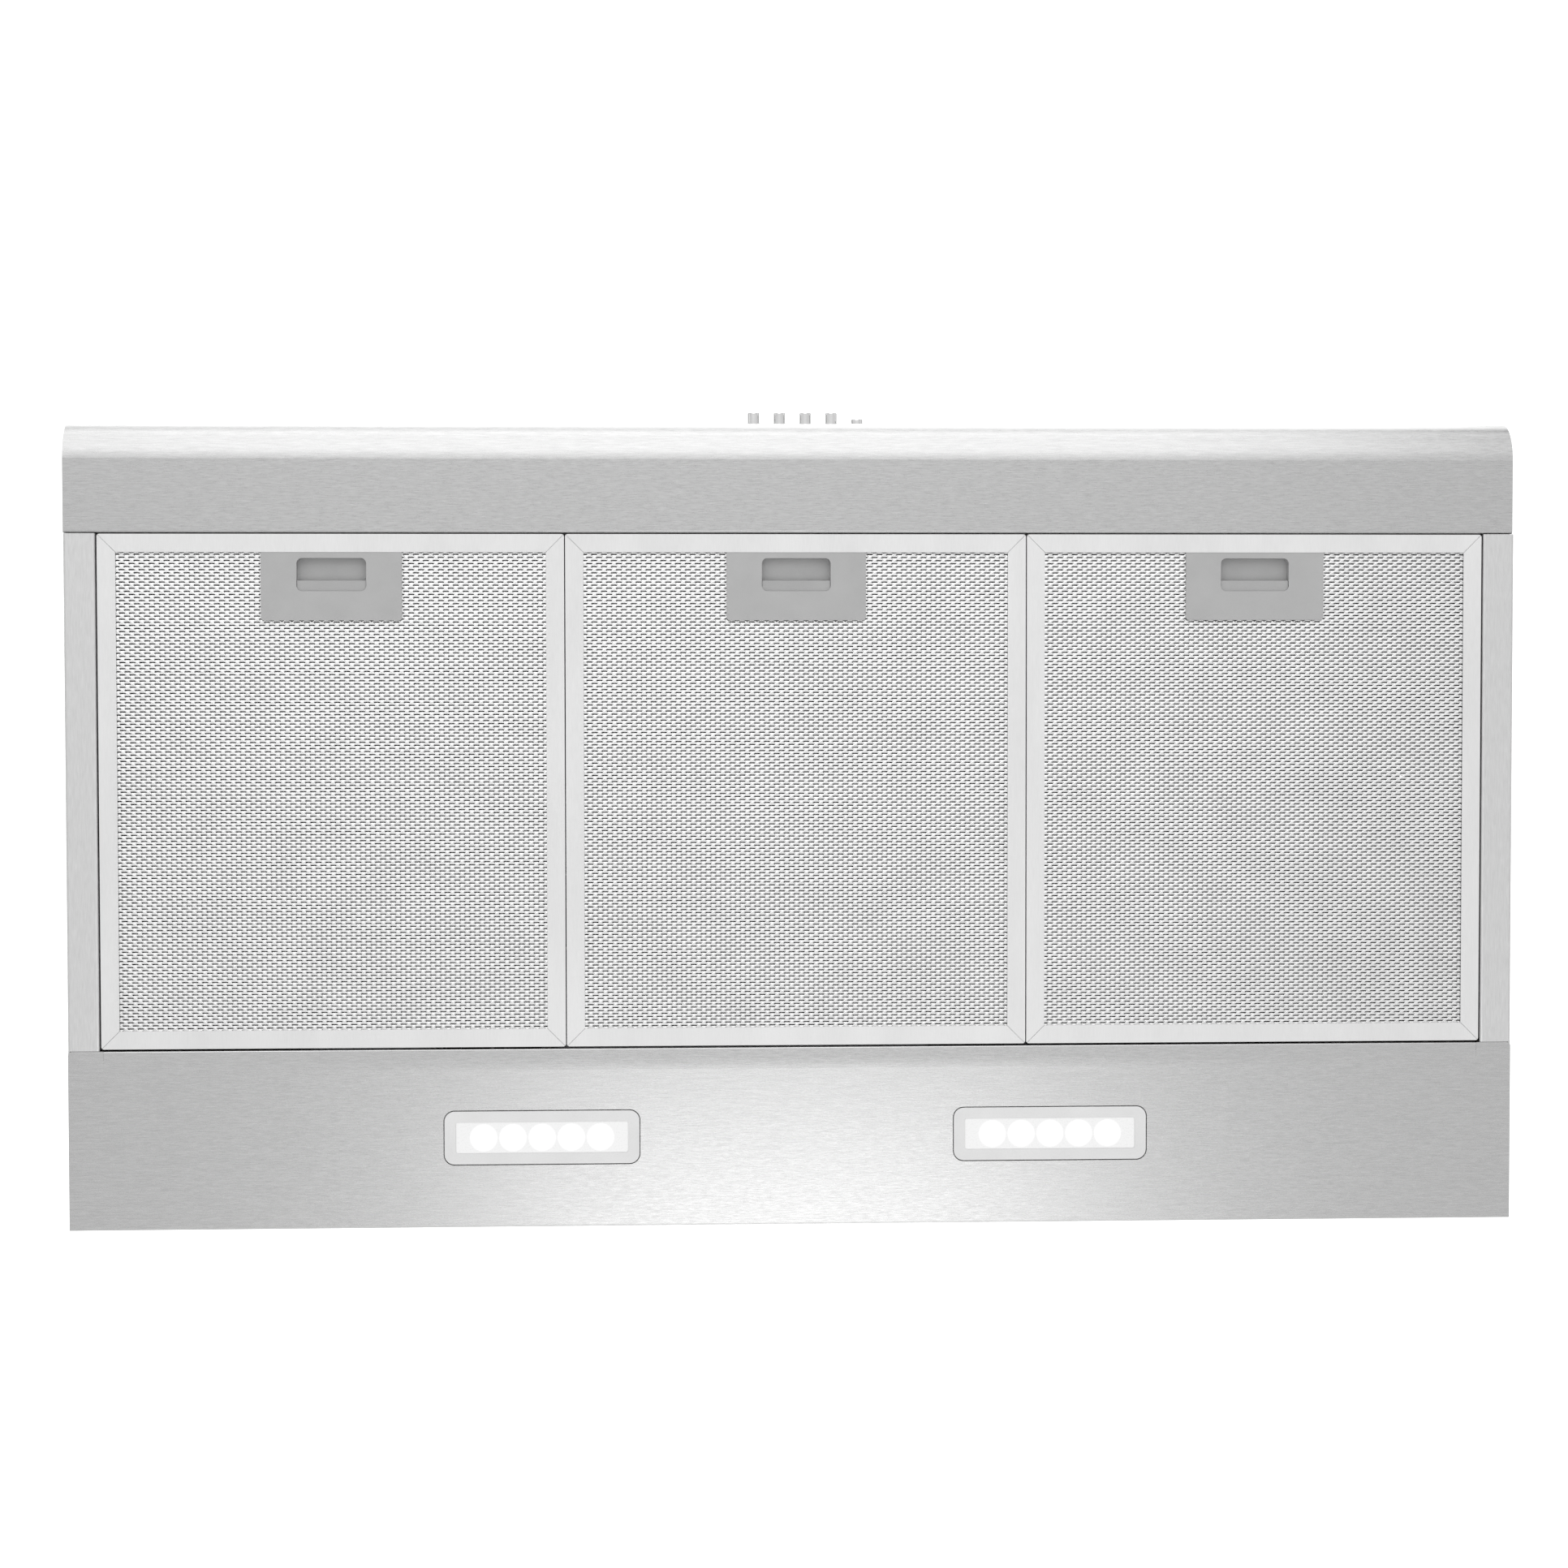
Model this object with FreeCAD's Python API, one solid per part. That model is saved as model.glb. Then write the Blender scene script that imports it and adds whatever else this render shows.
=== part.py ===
"""Slim under cabinet range hood with three hinged grease filters, one blower and two lamps.

Everything is modelled with z = 0 at the underside, and saved with z = 0 at the top face that
meets the cabinet. X runs along the hood's width, -Y is the front with the push buttons.
"""
import FreeCAD, Part
import math
import os

V = FreeCAD.Vector

# Overall size
WIDTH = 900.0
DEPTH = 500.0
HEIGHT = 130.0
SHEET = 1.0
HALF_W = WIDTH / 2
FRONT_Y = -DEPTH / 2
REAR_Y = DEPTH / 2

# Side profile
NOSE_R = 24.0
FASCIA_TOP = 52.0
TOP_FRONT_Y = -60.0
SLOPE = (HEIGHT - FASCIA_TOP) / (TOP_FRONT_Y - FRONT_Y)
BEND = 1.6

# Bottom face: front strip, filter bay, lamp panel
BAY_FRONT = -180.4
BAY_REAR = 139.0
BAY_HALF = 430.4
LEDGE = 14.0
FRONT_PANEL_GAP = 1.0
HEM_T = 2.2
HEM_DEPTH = 8.0
EDGE_W = 10.0
EDGE_RISE = 0.6
EDGE_R = 110.0

# Filters
FILTERS = {"left": -286.6, "centre": 0.0, "right": 286.6}
FILTER_HALF_W = 142.95
FILTER_FRONT = -179.8
FILTER_REAR = 137.8
FILTER_Z = 0.4
FILTER_T = 9.0
BAR = 11.2
BAR_TOP = 8.0
PROFILE_T = 0.8
MITRE_HALF_W = 0.2
MITRE_DEPTH = 0.55

# Filter latches
PLATE_HALF_W = 43.25
PLATE_REAR = -126.6
CUP_HALF_W = 21.35
CUP_FRONT = -165.0
CUP_REAR = -144.6
LIP_FRONT = -151.1

# Lamps
LAMP_X = 158.6
LAMP_Y = 194.4
LAMP_L = 120.8
LAMP_W = 33.0
LAMP_GAP = 0.65
WINDOW_L = 106.8
WINDOW_W = 19.4
LED_PITCH = 18.1
LED_COUNT = 5

# Push buttons
BUTTON_X = 7.5
BUTTON_PITCH = 16.3
BUTTON_Z = 38.0
BUTTON_R = 3.8
BUTTON_OUT = 8.0
BUTTON_TRAVEL = 4.0
BUTTONS = 5
LATCHED = 5

# Duct collar
DUCT_Y = 120.0
DUCT_R = 74.5
COLLAR_H = 30.0
FLAP_Z = HEIGHT + 20.0

# Pressed recesses that keep flanges and screw heads below the top face
RECESS = 3.2
SEAT_Z = HEIGHT - RECESS
COLLAR_RECESS_R = 92.0
GLAND_RECESS_R = 18.0

# Blower
FAN_X = -190.0
FAN_Y = 78.0
FAN_R = 85.0
BLADES = 36
SCROLL_Z = 20.0
SCROLL_TOP = 92.0
SCROLL_R0 = 95.0
SCROLL_R1 = 135.0
PLENUM = 82.0
PLENUM_FRONT = 38.0
WALL = 2.0
SHAFT_R = 4.0

# Electrical box
EBOX = (130.0, 300.0, 50.0, 190.0)
EBOX_Z = 86.0
GLAND = (265.0, 150.0)

# Cabinet screws
SCREW_X = 410.0
SCREW_FRONT = -25.0
SCREW_REAR = 215.0
SCREW_R = 3.0


def box(x0, x1, y0, y1, z0, z1):
    return Part.makeBox(x1 - x0, y1 - y0, z1 - z0, V(x0, y0, z0))


def rod(r, start, end):
    start = V(*start)
    along = V(*end) - start
    return Part.makeCylinder(r, along.Length, start, along)


def ring(r_out, r_in, start, end):
    return rod(r_out, start, end).cut(rod(r_in, start, end))


def fuse(shapes):
    return shapes[0].multiFuse(shapes[1:]).removeSplitter()


def on_yz(x):
    return lambda u, v: V(x, u, v)


def on_xz(y):
    return lambda u, v: V(u, y, v)


def on_xy(z):
    return lambda u, v: V(u, v, z)


def corner(before, point, after):
    """Tangent points and mid point of the arc at one corner of a path."""
    p = V(point[0], point[1], 0)
    d0 = (V(before[0], before[1], 0) - p).normalize()
    d1 = (V(after[0], after[1], 0) - p).normalize()
    half = d0.getAngle(d1) / 2
    reach = point[2] / math.tan(half)
    to_centre = (d0 + d1).normalize()
    centre = p + to_centre * (point[2] / math.sin(half))
    return p + d0 * reach, centre - to_centre * point[2], p + d1 * reach


def face(points, at):
    """Closed face from (u, v) or (u, v, radius) corner points on the plane of at."""
    ends = []
    edges = []
    count = len(points)
    for i, point in enumerate(points):
        if len(point) == 2 or point[2] <= 0:
            here = V(point[0], point[1], 0)
            ends.append((here, None, here))
        else:
            ends.append(corner(points[i - 1], point, points[(i + 1) % count]))
    for i in range(count):
        start, mid, end = ends[i]
        last = ends[i - 1][2]
        if (start - last).Length > 1e-6:
            edges.append(Part.makeLine(at(last.x, last.y), at(start.x, start.y)))
        if mid is not None:
            arc = Part.Arc(at(start.x, start.y), at(mid.x, mid.y), at(end.x, end.y))
            edges.append(arc.toShape())
    return Part.Face(Part.Wire(Part.__sortEdges__(edges)))


def bent_sheet(path, side, at, thick=SHEET):
    """Section of a folded sheet: path is its outer face, side is +1 left or -1 right."""
    inner = []
    for i, point in enumerate(path):
        here = V(point[0], point[1], 0)
        dirs = []
        if i > 0:
            dirs.append((here - V(path[i - 1][0], path[i - 1][1], 0)).normalize())
        if i < len(path) - 1:
            dirs.append((V(path[i + 1][0], path[i + 1][1], 0) - here).normalize())
        normals = [V(-d.y, d.x, 0) * side for d in dirs]
        total = normals[0] + normals[-1]
        shift = total * (thick / (1 + normals[0].dot(normals[-1])))
        radius = max(point[2] - thick, 0) if len(point) > 2 else 0
        inner.append((point[0] + shift.x, point[1] + shift.y, radius))
    return face(list(path) + inner[::-1], at)


def slab(x, y, length, width, z0, z1, r):
    """Plate with rounded corners, centred on x, y."""
    a = length / 2
    b = width / 2
    points = [(x - a, y - b, r), (x + a, y - b, r), (x + a, y + b, r), (x - a, y + b, r)]
    return face(points, on_xy(z0)).extrude(V(0, 0, z1 - z0))


def tube(points, r, bend):
    """Round wire along straight runs joined by arcs."""
    points = [V(*p) for p in points]
    edges = []
    last = points[0]
    for i in range(1, len(points) - 1):
        d0 = (points[i - 1] - points[i]).normalize()
        d1 = (points[i + 1] - points[i]).normalize()
        half = d0.getAngle(d1) / 2
        reach = bend / math.tan(half)
        start = points[i] + d0 * reach
        end = points[i] + d1 * reach
        to_centre = (d0 + d1).normalize()
        mid = points[i] + to_centre * (bend / math.sin(half) - bend)
        edges.append(Part.makeLine(last, start))
        edges.append(Part.Arc(start, mid, end).toShape())
        last = end
    edges.append(Part.makeLine(last, points[-1]))
    path = Part.Wire(edges)
    ring_edge = Part.makeCircle(r, points[0], points[1] - points[0])
    return path.makePipeShell([Part.Wire([ring_edge])], True, False)


def coil(r, wire_r, turns, start, length):
    """Compression spring along +Y from start, its wire laid in short straight runs."""
    per_turn = 16
    steps = turns * per_turn
    points = []
    for i in range(steps + 1):
        angle = 2 * math.pi * i / per_turn
        along = wire_r + (length - 2 * wire_r) * i / steps
        points.append(V(*start) + V(r * math.cos(angle), along, r * math.sin(angle)))
    section = Part.Wire([Part.makeCircle(wire_r, points[0], points[1] - points[0])])
    mitred = 1
    return Part.makePolygon(points).makePipeShell([section], True, False, mitred)


def screw(head, along, length=6.0, r=1.8):
    """Pan head screw: head is the centre of the bearing face, along points into the work."""
    head = V(*head)
    along = V(*along)
    cap = Part.makeCylinder(3.4, 1.8, head - along * 1.8, along)
    shank = Part.makeCylinder(r, length, head, along)
    return cap.fuse(shank)


def slope_z(y):
    return FASCIA_TOP + (y - FRONT_Y) * SLOPE


def cut(shape, tools):
    """Cut the tools away and keep a plain solid or a compound of solids."""
    result = shape.cut(tools)
    if len(result.Solids) == 1:
        return result.Solids[0]
    return Part.makeCompound(result.Solids)


def save(name, shape):
    shape = shape.copy()
    shape.translate(V(0, 0, -HEIGHT))
    shape.exportStep("parts/" + name + ".step")
    print(name, len(shape.Solids), round(sum(s.Volume for s in shape.Solids)), shape.isValid())


def button_x(index):
    return BUTTON_X + (index - (BUTTONS + 1) / 2) * BUTTON_PITCH


def front_panel():
    """Fascia, rounded nose and bottom strip bent from one sheet, with welded end caps."""
    left = -HALF_W
    right = HALF_W - FRONT_PANEL_GAP
    path = [(BAY_FRONT, LEDGE)]
    path.append((BAY_FRONT, 0, BEND))
    path.append((FRONT_Y, 0, NOSE_R))
    path.append((FRONT_Y, FASCIA_TOP, 4.0))
    path.append((BAY_FRONT, slope_z(BAY_FRONT)))
    skin = bent_sheet(path, -1, on_yz(left)).extrude(V(right - left, 0, 0))
    end = face(path[1:], on_yz(left))
    caps = [end.extrude(V(SHEET, 0, 0))]
    caps.append(end.extrude(V(-SHEET, 0, 0)))
    caps[1].translate(V(right - left, 0, 0))
    flange_top = slope_z(BAY_FRONT) - 10
    flanges = [box(left, left + 14, BAY_FRONT - SHEET, BAY_FRONT, LEDGE, flange_top)]
    flanges.append(box(right - 14, right, BAY_FRONT - SHEET, BAY_FRONT, LEDGE, flange_top))
    panel = fuse([skin] + caps + flanges)
    for i in range(1, BUTTONS + 1):
        x = button_x(i)
        panel = panel.cut(rod(4.2, (x, FRONT_Y - 2, BUTTON_Z), (x, FRONT_Y + 3, BUTTON_Z)))
    return panel


def canopy_shell():
    """Sloping front, flat top and back bent from one sheet."""
    path = [(BAY_FRONT, slope_z(BAY_FRONT))]
    path.append((TOP_FRONT_Y, HEIGHT, 4.0))
    path.append((REAR_Y, HEIGHT, 3.0))
    path.append((REAR_Y, 0))
    shell = bent_sheet(path, -1, on_yz(-HALF_W)).extrude(V(WIDTH, 0, 0))
    for x, y, r in ((0, DUCT_Y, COLLAR_RECESS_R), (*GLAND, GLAND_RECESS_R)):
        well = rod(r, (x, y, SEAT_Z), (x, y, HEIGHT + 5))
        dish = rod(r + SHEET, (x, y, SEAT_Z - SHEET), (x, y, HEIGHT))
        shell = fuse([shell, dish]).cut(well)
    holes = [rod(DUCT_R - 0.5, (0, DUCT_Y, HEIGHT - 5), (0, DUCT_Y, HEIGHT + 5))]
    holes.append(rod(9.0, (*GLAND, HEIGHT - 5), (*GLAND, HEIGHT + 5)))
    for x in (-SCREW_X, SCREW_X):
        for y in (SCREW_FRONT, SCREW_REAR):
            holes.append(rod(SCREW_R, (x, y, HEIGHT - 5), (x, y, HEIGHT + 5)))
    return shell.cut(holes)


def side_panel(side):
    """Side sheet with the bottom flange beside the filters and inward flanges for fixing."""
    corner_y = TOP_FRONT_Y + SHEET * math.tan(math.atan(SLOPE) / 2)
    drop = SHEET / math.cos(math.atan(SLOPE))
    start = BAY_FRONT + 0.3
    end = BAY_REAR - 0.2
    outline = [(start, BEND), (end, BEND), (end, SHEET), (REAR_Y - SHEET, SHEET)]
    outline += [(REAR_Y - SHEET, HEIGHT - SHEET, 2.0), (corner_y, HEIGHT - SHEET, 3.0)]
    outline.append((start, slope_z(start) - drop))
    plate = face(outline, on_yz(HALF_W - SHEET)).extrude(V(SHEET, 0, 0))
    fold = [(BAY_HALF, LEDGE), (BAY_HALF, 0, BEND), (HALF_W, 0, BEND), (HALF_W, 4)]
    strip = bent_sheet(fold, 1, on_xz(start)).extrude(V(0, end - start, 0))
    inner = HALF_W - 13
    top = box(inner, HALF_W - SHEET, corner_y + 2, REAR_Y - 4, HEIGHT - 2 * SHEET, HEIGHT - SHEET)
    front_top = slope_z(BAY_FRONT) - 10
    front = box(inner, HALF_W - SHEET, BAY_FRONT, BAY_FRONT + SHEET, LEDGE + 4, front_top)
    panel = fuse([plate, strip, top, front])
    if side < 0:
        panel = panel.mirror(V(0, 0, 0), V(1, 0, 0))
    return panel


def lamp_panel():
    """Rear bottom panel with a raised and hemmed front lip and two lamp cut-outs."""
    rear = REAR_Y - SHEET
    r = 2.5
    outline = [(-HALF_W, BAY_REAR, r), (HALF_W, BAY_REAR, r), (HALF_W, rear), (-HALF_W, rear)]
    plate = face(outline, on_xy(0)).extrude(V(0, 0, SHEET))
    half = HEM_T / 2 - 0.05
    bend_y = BAY_REAR + EDGE_W
    flat_y = bend_y + 6.0
    hem_y = BAY_REAR + HEM_DEPTH
    hem_z = EDGE_RISE * (1 - HEM_DEPTH / EDGE_W)
    edge_loop = [(BAY_REAR, EDGE_RISE, half), (bend_y, 0, EDGE_R), (flat_y, 0), (flat_y, SHEET)]
    edge_loop += [(bend_y, SHEET), (hem_y, hem_z + SHEET), (hem_y, hem_z + HEM_T)]
    edge_loop.append((BAY_REAR, EDGE_RISE + HEM_T, half))
    end = BAY_HALF - 2
    lip = face(edge_loop, on_yz(-end)).extrude(V(2 * end, 0, 0))
    plate = plate.cut(box(-end, end, BAY_REAR - 1, flat_y, -1, SHEET + 1))
    flanges = [box(-HALF_W + 10, HALF_W - 10, rear - SHEET, rear, 0, LEDGE)]
    for side in (-1, 1):
        inner = side * (HALF_W - 2 * SHEET)
        outer = side * (HALF_W - SHEET)
        flanges.append(box(min(inner, outer), max(inner, outer), 152, 238, 0, LEDGE))
    panel = fuse([plate, lip] + flanges)
    for side in (-1, 1):
        length = LAMP_L + 2 * LAMP_GAP
        width = LAMP_W + 2 * LAMP_GAP
        panel = panel.cut(slab(side * LAMP_X, LAMP_Y, length, width, -1, 2, 6.8))
    return panel


def panel_screws():
    """Screws in the end flanges of the front panel and inside the sides of the lamp panel."""
    screws = []
    for side in (-1, 1):
        for z in (28.0, 58.0):
            head = (side * (HALF_W - 7.5), BAY_FRONT + SHEET, z)
            screws.append(screw(head, (0, -1, 0)))
        for y in (165.0, 225.0):
            head = (side * (HALF_W - 2 * SHEET), y, 8.0)
            screws.append(screw(head, (side, 0, 0), 1.5 * SHEET))
    return screws


def filter_frame(x):
    """Aluminium channel folded round the filter, with mitred corners and a slot for the bolt."""
    y = (FILTER_FRONT + FILTER_REAR) / 2
    length = FILTER_REAR - FILTER_FRONT
    width = 2 * FILTER_HALF_W
    top = FILTER_Z + FILTER_T
    frame = slab(x, y, width, length, FILTER_Z, top, 1.6)
    wall = 2 * PROFILE_T
    low = FILTER_Z + PROFILE_T
    frame = frame.cut(slab(x, y, width - wall, length - wall, low, top - PROFILE_T, 0.8))
    frame = frame.cut(slab(x, y, width - 2 * BAR, length - 2 * BAR, FILTER_Z - 1, 5, 0))
    frame = frame.cut(slab(x, y, width - 2 * BAR_TOP, length - 2 * BAR_TOP, 5, top + 1, 0))
    for sx in (-1, 1):
        for sy in (-1, 1):
            reach = BAR * math.sqrt(2) + 1
            groove = box(-1, reach, -MITRE_HALF_W, MITRE_HALF_W, -0.3, MITRE_DEPTH)
            groove.rotate(V(0, 0, 0), V(0, 0, 1), math.degrees(math.atan2(-sy, -sx)))
            groove.translate(V(x + sx * width / 2, y + sy * length / 2, FILTER_Z))
            frame = frame.cut(groove)
    frame = frame.cut(box(x - 9, x + 9, FILTER_FRONT - 1, FILTER_FRONT + 2, 2.0, 6.2))
    return cut(frame, [box(x - 29, x + 29, FILTER_FRONT + PROFILE_T, -164, low, top - 2)])


def filter_mesh(x):
    """Stacked sheets of expanded aluminium, notched for the latch."""
    inset = PROFILE_T + 0.4
    left = x - FILTER_HALF_W + inset
    right = x + FILTER_HALF_W - inset
    front = FILTER_FRONT + inset
    rear = FILTER_REAR - inset
    low = FILTER_Z + PROFILE_T + 0.3
    layers = ((low, 0.6), (low + 2.3, 0.3), (low + 4.2, 0.3), (low + 6.3, 0.6))
    sheets = []
    for z, thick in layers:
        sheet = box(left, right, front, rear, z, z + thick)
        sheets.append(sheet.cut(box(x - 30, x + 30, front - 1, -127.6, z - 1, z + 2)))
    return Part.makeCompound(sheets)


def latch_plate(x):
    """Plate with the finger recess; its channel and post carry the slider and its spring."""
    front = FILTER_FRONT + BAR + 0.05
    outline = [(x - PLATE_HALF_W, front), (x + PLATE_HALF_W, front)]
    outline += [(x + PLATE_HALF_W, PLATE_REAR, 2.0), (x - PLATE_HALF_W, PLATE_REAR, 2.0)]
    low = FILTER_Z + 0.2
    plate = face(outline, on_xy(low)).extrude(V(0, 0, 0.8))
    y = (CUP_FRONT + CUP_REAR) / 2
    length = 2 * CUP_HALF_W
    width = CUP_REAR - CUP_FRONT
    hole = slab(x, y, length, width, low - 1, low + 2, 3.4)
    cup = slab(x, y, length + 1.6, width + 1.6, low, 7.6, 4.2)
    cup = cup.cut(slab(x, y, length, width, low - 1, 6.8, 3.4))
    cup = cup.cut(box(x - 30, x + 30, CUP_REAR - 3, CUP_REAR + 3, low + 0.8, 9))
    post = box(x - 4, x + 4, -129.2, -127.8, low, 6.6)
    return fuse([plate.cut(hole), cup, post])


def latch_slider(x):
    """Sliding catch: finger lip, two arms beside the recess and the bolt at the front."""
    low = FILTER_Z + 1.2
    half = CUP_HALF_W - 0.25
    lip = box(x - half, x + half, LIP_FRONT, -139.0, low, low + 1.0)
    hook = box(x - half, x + half, LIP_FRONT, LIP_FRONT + 1.0, low, 6.0)
    cross = box(x - 27, x + 27, -141.4, -138.0, low, 5.8)
    bridge = box(x - 27, x + 27, -176.4, -172.6, low + 0.6, 5.8)
    bolt = box(x - 8, x + 8, -179.1, -176.0, low + 0.8, 5.8)
    parts = [lip, hook, cross, bridge, bolt]
    for side in (-1, 1):
        inner = x + side * (CUP_HALF_W + 1.1)
        outer = x + side * 27
        parts.append(box(min(inner, outer), max(inner, outer), -174, -139, low + 0.6, 5.8))
    return fuse(parts)


def latch_spring(x):
    return coil(1.7, 0.2, 5, (x, -137.9, 3.9), 8.6)


def lamp_housing(x):
    """Lamp body clipped in from above; a groove parts its bezel from the flange."""
    flange_top = 4.4
    bezel = slab(x, LAMP_Y, LAMP_L, LAMP_W, 0, flange_top - 0.8, 6.2)
    flange = slab(x, LAMP_Y, LAMP_L + 9, LAMP_W + 9, SHEET, flange_top, 9.0)
    length = LAMP_L + 2 * LAMP_GAP
    width = LAMP_W + 2 * LAMP_GAP
    flange = flange.cut(slab(x, LAMP_Y, length, width, 0, flange_top - 0.8, 6.8))
    body = slab(x, LAMP_Y, LAMP_L - 3, LAMP_W - 3, flange_top, 14.0, 4.0)
    solid = fuse([bezel, flange, body])
    solid = solid.cut(slab(x, LAMP_Y, WINDOW_L, WINDOW_W, -1, 4, 1.4))
    return cut(solid, [slab(x, LAMP_Y, WINDOW_L + 4, WINDOW_W + 4, 3.4, 12.8, 2.4)])


def lamp_lens(x):
    """Frosted window with a lip that rests inside the housing."""
    pane = slab(x, LAMP_Y, WINDOW_L - 0.3, WINDOW_W - 0.3, 0.3, 3.4, 1.2)
    lip = slab(x, LAMP_Y, WINDOW_L + 3.6, WINDOW_W + 3.6, 3.4, 4.4, 2.2)
    return pane.fuse(lip).removeSplitter()


def led_board(x):
    """Circuit board with its row of domed LEDs."""
    rise = 2.6
    span = 5.6
    radius = (span * span + rise * rise) / (2 * rise)
    solids = [slab(x, LAMP_Y, WINDOW_L + 3.8, WINDOW_W + 3.8, 8.6, 10.2, 2.2)]
    for i in range(LED_COUNT):
        led_x = x + (i - (LED_COUNT - 1) / 2) * LED_PITCH
        ball = Part.makeSphere(radius, V(led_x, LAMP_Y, 8.6 - rise + radius))
        trim = box(led_x - span, led_x + span, LAMP_Y - span, LAMP_Y + span, 5.6, 8.6)
        solids.append(ball.common(trim).Solids[0])
    return Part.makeCompound(solids)


def button_shift(index):
    return BUTTON_TRAVEL if index == LATCHED else 0.0


def button(index):
    """Chrome cap on a stem, with the shoulder that keeps it in the switch body."""
    x = button_x(index)
    y = FRONT_Y - BUTTON_OUT + button_shift(index)
    cap = rod(BUTTON_R, (x, y, BUTTON_Z), (x, y + 13, BUTTON_Z))
    cap = cap.makeFillet(0.7, [e for e in cap.Edges if abs(e.BoundBox.YMax - y) < 0.01])
    shoulder = rod(5.0, (x, y + 13, BUTTON_Z), (x, y + 14.5, BUTTON_Z))
    stem = rod(2.2, (x, y + 14.5, BUTTON_Z), (x, y + 33, BUTTON_Z))
    return fuse([cap, shoulder, stem])


def button_spring(index):
    start = FRONT_Y - BUTTON_OUT + button_shift(index) + 14.6
    return coil(3.1, 0.3, 9, (button_x(index), start, BUTTON_Z), -216.1 - start)


def button_collars():
    """Flanged guide rings pressed into the fascia, one per button."""
    rings = []
    for i in range(1, BUTTONS + 1):
        x = button_x(i)
        flange = rod(4.7, (x, FRONT_Y - 1.1, BUTTON_Z), (x, FRONT_Y, BUTTON_Z))
        neck = rod(4.2, (x, FRONT_Y, BUTTON_Z), (x, FRONT_Y + SHEET, BUTTON_Z))
        bore = rod(BUTTON_R + 0.05, (x, FRONT_Y - 3, BUTTON_Z), (x, FRONT_Y + 3, BUTTON_Z))
        rings.append(flange.fuse(neck).removeSplitter().cut(bore).Solids[0])
    return Part.makeCompound(rings)


def switch_housing():
    """Body of the five-button switch bank, open inside for shoulders and springs."""
    low = BUTTON_Z - 11
    high = BUTTON_Z + 11
    back = FRONT_Y + 36
    inner_y = FRONT_Y + SHEET + 2
    body = box(BUTTON_X - 45, BUTTON_X + 45, FRONT_Y + SHEET, back, low, high)
    body = body.cut(box(BUTTON_X - 43, BUTTON_X + 43, inner_y, back - 2, low + 2, high - 2))
    for i in range(1, BUTTONS + 1):
        x = button_x(i)
        body = body.cut(rod(4.1, (x, FRONT_Y, BUTTON_Z), (x, inner_y + 1, BUTTON_Z)))
    return body


def switch_bracket():
    """Bridge that holds the switch bank down to the bottom strip."""
    top = BUTTON_Z + 11
    left = BUTTON_X - 60
    right = BUTTON_X + 60
    plate = box(left, right, -242, -200, top, top + 1.2)
    legs = [box(left, left + 1.2, -222, -200, SHEET, top)]
    legs.append(box(right - 1.2, right, -222, -200, SHEET, top))
    legs.append(box(left - 12, left, -222, -200, SHEET, SHEET + 1.2))
    legs.append(box(right, right + 12, -222, -200, SHEET, SHEET + 1.2))
    return fuse([plate] + legs)


def duct_collar():
    """Round duct spigot on a flange, with a ledge that the damper flaps close on."""
    centre = (0, DUCT_Y)
    inner = DUCT_R - 1.2
    top = HEIGHT + COLLAR_H
    flange = ring(DUCT_R + 14, inner, (*centre, SEAT_Z), (*centre, SEAT_Z + 1.2))
    wall = ring(DUCT_R, inner, (*centre, SEAT_Z), (*centre, top))
    ledge = ring(inner, inner - 2.4, (*centre, FLAP_Z - 3), (*centre, FLAP_Z - 0.8))
    collar = fuse([flange, wall, ledge])
    return collar.cut(rod(2.0, (-DUCT_R - 2, DUCT_Y, FLAP_Z), (DUCT_R + 2, DUCT_Y, FLAP_Z)))


def damper_rod():
    return rod(2.0, (-DUCT_R + 0.1, DUCT_Y, FLAP_Z), (DUCT_R - 0.1, DUCT_Y, FLAP_Z))


def damper_flap(side):
    """Half-round flap with knuckles on the rod; side is -1 at the front, +1 at the rear."""
    plate = rod(DUCT_R - 2.2, (0, DUCT_Y, FLAP_Z - 0.5), (0, DUCT_Y, FLAP_Z + 0.5))
    near = DUCT_Y + side * 4.2
    far = DUCT_Y + side * 100
    plate = plate.common(box(-90, 90, min(near, far), max(near, far), HEIGHT, HEIGHT + 40))
    spans = ((-62, -34), (34, 62)) if side < 0 else ((-30, 30),)
    parts = [plate]
    for x0, x1 in spans:
        parts.append(rod(3.4, (x0, DUCT_Y, FLAP_Z), (x1, DUCT_Y, FLAP_Z)))
        reach = DUCT_Y + side * 6
        web = box(x0, x1, min(DUCT_Y, reach), max(DUCT_Y, reach), FLAP_Z - 0.5, FLAP_Z + 0.5)
        parts.append(web)
    flap = fuse(parts)
    return cut(flap, [rod(2.06, (-80, DUCT_Y, FLAP_Z), (80, DUCT_Y, FLAP_Z))])


def collar_screws():
    screws = []
    for k in range(4):
        angle = math.radians(45 + 90 * k)
        x = (DUCT_R + 7.5) * math.cos(angle)
        y = DUCT_Y + (DUCT_R + 7.5) * math.sin(angle)
        screws.append(screw((x, y, SEAT_Z + 1.2), (0, 0, -1)))
    return screws


def scroll_face(inset, z):
    """Spiral outline of the blower, in arcs from the cut-off round to the outlet."""
    points = []
    steps = 24
    first = math.radians(55)
    last = math.radians(-270)
    for i in range(steps + 1):
        angle = first + (last - first) * i / steps
        radius = SCROLL_R0 + (SCROLL_R1 - SCROLL_R0) * i / steps - inset
        points.append(V(FAN_X + radius * math.cos(angle), FAN_Y + radius * math.sin(angle), z))
    edges = [Part.Arc(*points[i:i + 3]).toShape() for i in range(0, steps, 2)]
    edges.append(Part.makeLine(points[-1], points[0]))
    return Part.Face(Part.Wire(edges))


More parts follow.
